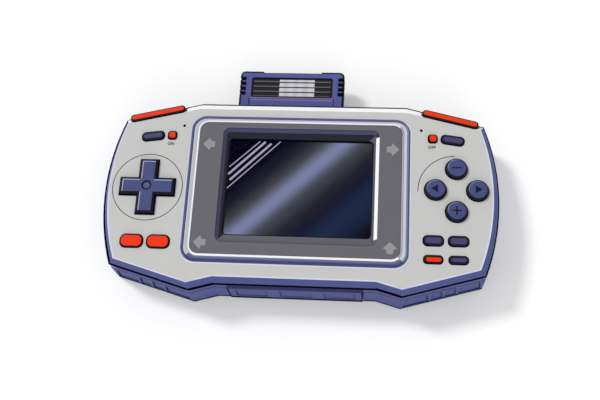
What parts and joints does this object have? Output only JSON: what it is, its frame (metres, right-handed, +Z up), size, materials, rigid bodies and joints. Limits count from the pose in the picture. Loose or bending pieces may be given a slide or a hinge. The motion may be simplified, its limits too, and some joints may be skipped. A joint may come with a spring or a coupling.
{
  "type": "handheld game console",
  "caption": "Handheld game console with framed screen, cross pad, round and pill keys, shoulder buttons, battery door and a cartridge that slides out of the top edge.",
  "frame": {"origin": "centre of the flat rear face that it lies on", "axes": "+Z up out of the screen, +X towards the round buttons, +Y towards the cartridge edge"},
  "size_m": [0.1986, 0.1243, 0.0316],
  "materials": {
    "face_grey": "fine moulded texture",
    "shell_violet": "fine moulded texture",
    "rim_lavender": "satin",
    "bezel_grey": "fine moulded texture",
    "clear_lens": "polished",
    "display_black": "smooth",
    "white_diffuser": "smooth",
    "key_violet": "satin",
    "key_dark": "soft satin",
    "key_red": "soft satin",
    "shoulder_red": "satin",
    "cartridge_violet": "fine moulded texture",
    "label_dark": "smooth",
    "board_green": "lacquered",
    "chip_black": "moulded",
    "silicone": "matt",
    "foam": "foam",
    "sheet_steel": "plated",
    "screw_steel": "zinc",
    "cell_jacket": "printed jacket",
    "speaker_black": "paper cone",
    "lamp_dark": "smoked"
  },
  "bodies": {
    "case": {"battery_cell_1": "cell_jacket", "battery_cell_2": "cell_jacket", "battery_cell_3": "cell_jacket", "battery_cell_4": "cell_jacket", "battery_contacts": "sheet_steel", "board_chips": "chip_black", "board_screws": "screw_steel", "cartridge_connector": "chip_black", "case_screws": "screw_steel", "dpad_base": "chip_black", "dpad_rubber": "silicone", "faceplate": "face_grey", "front_shell": "shell_violet", "indicator_lamps": "lamp_dark", "lcd_backlight": "white_diffuser", "lcd_frame": "sheet_steel", "lcd_panel": "display_black", "left_key_rubber": "silicone", "lens_gasket": "foam", "main_board": "board_green", "phone_jack": "chip_black", "power_socket": "sheet_steel", "rear_shell": "shell_violet", "right_key_rubber": "silicone", "round_key_rubber": "silicone", "screen_bezel": "bezel_grey", "screen_lens": "clear_lens", "screen_rim": "rim_lavender", "screen_ring": "shell_violet", "shoulder_switches": "chip_black", "speaker_left": "speaker_black", "speaker_right": "speaker_black", "upper_left_rubber": "silicone", "upper_right_rubber": "silicone", "volume_control": "chip_black"},
    "button_minus": {"button_minus": "key_violet"},
    "button_back": {"button_back": "key_violet"},
    "button_forward": {"button_forward": "key_violet"},
    "button_plus": {"button_plus": "key_violet"},
    "red_pill_outer": {"red_pill_outer": "key_red"},
    "red_pill_inner": {"red_pill_inner": "key_red"},
    "option_pill_upper_inner": {"option_pill_upper_inner": "key_dark"},
    "option_pill_upper_outer": {"option_pill_upper_outer": "key_dark"},
    "option_pill_lower_inner": {"option_pill_lower_inner": "key_red"},
    "option_pill_lower_outer": {"option_pill_lower_outer": "key_dark"},
    "upper_pill_left": {"upper_pill_left": "key_dark"},
    "upper_pill_right": {"upper_pill_right": "key_dark"},
    "square_key_left": {"square_key_left": "key_red"},
    "square_key_right": {"square_key_right": "key_red"},
    "shoulder_button_left": {"shoulder_button_left": "shoulder_red"},
    "shoulder_button_right": {"shoulder_button_right": "shoulder_red"},
    "dpad_rocker": {"dpad_spider": "chip_black"},
    "dpad": {"dpad_cap": "key_violet"},
    "cartridge": {"cartridge_front": "cartridge_violet", "cartridge_rear": "cartridge_violet", "cartridge_label": "label_dark", "cartridge_card": "board_green"},
    "battery_cover": {"battery_cover": "shell_violet"},
    "volume_wheel": {"volume_wheel": "chip_black"}
  },
  "joints": [
    {"name": "button_minus_press", "type": "slide", "parent": "case", "child": "button_minus", "axis": [0, 0, -1], "range_m": [0, 0.0012], "stiffness_N_per_m": 400, "springref_m": -0.0004},
    {"name": "button_back_press", "type": "slide", "parent": "case", "child": "button_back", "axis": [0, 0, -1], "range_m": [0, 0.0012], "stiffness_N_per_m": 400, "springref_m": -0.0004},
    {"name": "button_forward_press", "type": "slide", "parent": "case", "child": "button_forward", "axis": [0, 0, -1], "range_m": [0, 0.0012], "stiffness_N_per_m": 400, "springref_m": -0.0004},
    {"name": "button_plus_press", "type": "slide", "parent": "case", "child": "button_plus", "axis": [0, 0, -1], "range_m": [0, 0.0012], "stiffness_N_per_m": 400, "springref_m": -0.0004},
    {"name": "red_pill_outer_press", "type": "slide", "parent": "case", "child": "red_pill_outer", "axis": [0, 0, -1], "range_m": [0, 0.0012], "stiffness_N_per_m": 400, "springref_m": -0.0004},
    {"name": "red_pill_inner_press", "type": "slide", "parent": "case", "child": "red_pill_inner", "axis": [0, 0, -1], "range_m": [0, 0.0012], "stiffness_N_per_m": 400, "springref_m": -0.0004},
    {"name": "option_pill_upper_inner_press", "type": "slide", "parent": "case", "child": "option_pill_upper_inner", "axis": [0, 0, -1], "range_m": [0, 0.0012], "stiffness_N_per_m": 400, "springref_m": -0.0004},
    {"name": "option_pill_upper_outer_press", "type": "slide", "parent": "case", "child": "option_pill_upper_outer", "axis": [0, 0, -1], "range_m": [0, 0.0012], "stiffness_N_per_m": 400, "springref_m": -0.0004},
    {"name": "option_pill_lower_inner_press", "type": "slide", "parent": "case", "child": "option_pill_lower_inner", "axis": [0, 0, -1], "range_m": [0, 0.0012], "stiffness_N_per_m": 400, "springref_m": -0.0004},
    {"name": "option_pill_lower_outer_press", "type": "slide", "parent": "case", "child": "option_pill_lower_outer", "axis": [0, 0, -1], "range_m": [0, 0.0012], "stiffness_N_per_m": 400, "springref_m": -0.0004},
    {"name": "upper_pill_left_press", "type": "slide", "parent": "case", "child": "upper_pill_left", "axis": [0, 0, -1], "range_m": [0, 0.0012], "stiffness_N_per_m": 400, "springref_m": -0.0004},
    {"name": "upper_pill_right_press", "type": "slide", "parent": "case", "child": "upper_pill_right", "axis": [0, 0, -1], "range_m": [0, 0.0012], "stiffness_N_per_m": 400, "springref_m": -0.0004},
    {"name": "square_key_left_press", "type": "slide", "parent": "case", "child": "square_key_left", "axis": [0, 0, -1], "range_m": [0, 0.0012], "stiffness_N_per_m": 400, "springref_m": -0.0004},
    {"name": "square_key_right_press", "type": "slide", "parent": "case", "child": "square_key_right", "axis": [0, 0, -1], "range_m": [0, 0.0012], "stiffness_N_per_m": 400, "springref_m": -0.0004},
    {"name": "shoulder_button_left_press", "type": "slide", "parent": "case", "child": "shoulder_button_left", "axis": [0, 0, -1], "range_m": [0, 0.0012], "stiffness_N_per_m": 400, "springref_m": -0.0004},
    {"name": "shoulder_button_right_press", "type": "slide", "parent": "case", "child": "shoulder_button_right", "axis": [0, 0, -1], "range_m": [0, 0.0012], "stiffness_N_per_m": 400, "springref_m": -0.0004},
    {"name": "dpad_side_tilt", "type": "hinge", "parent": "case", "child": "dpad_rocker", "pos_m": [-0.0762, -0.0005, 0.0227], "axis": [0, 1, 0], "range_deg": [-4, 4], "stiffness_Nm_per_rad": 0.15},
    {"name": "dpad_up_down_tilt", "type": "hinge", "parent": "dpad_rocker", "child": "dpad", "pos_m": [-0.0762, -0.0005, 0.0227], "axis": [1, 0, 0], "range_deg": [-4, 4], "stiffness_Nm_per_rad": 0.15},
    {"name": "cartridge_slide", "type": "slide", "parent": "case", "child": "cartridge", "axis": [0, 1, 0], "range_m": [0, 0.034]},
    {"name": "battery_cover_slide", "type": "slide", "parent": "case", "child": "battery_cover", "axis": [0, -1, 0], "range_m": [0, 0.062]},
    {"name": "volume_wheel_turn", "type": "hinge", "parent": "case", "child": "volume_wheel", "pos_m": [0.045, 0.0421, 0.0096], "axis": [0, 0, 1], "range_deg": [-140, 140]}
  ]
}
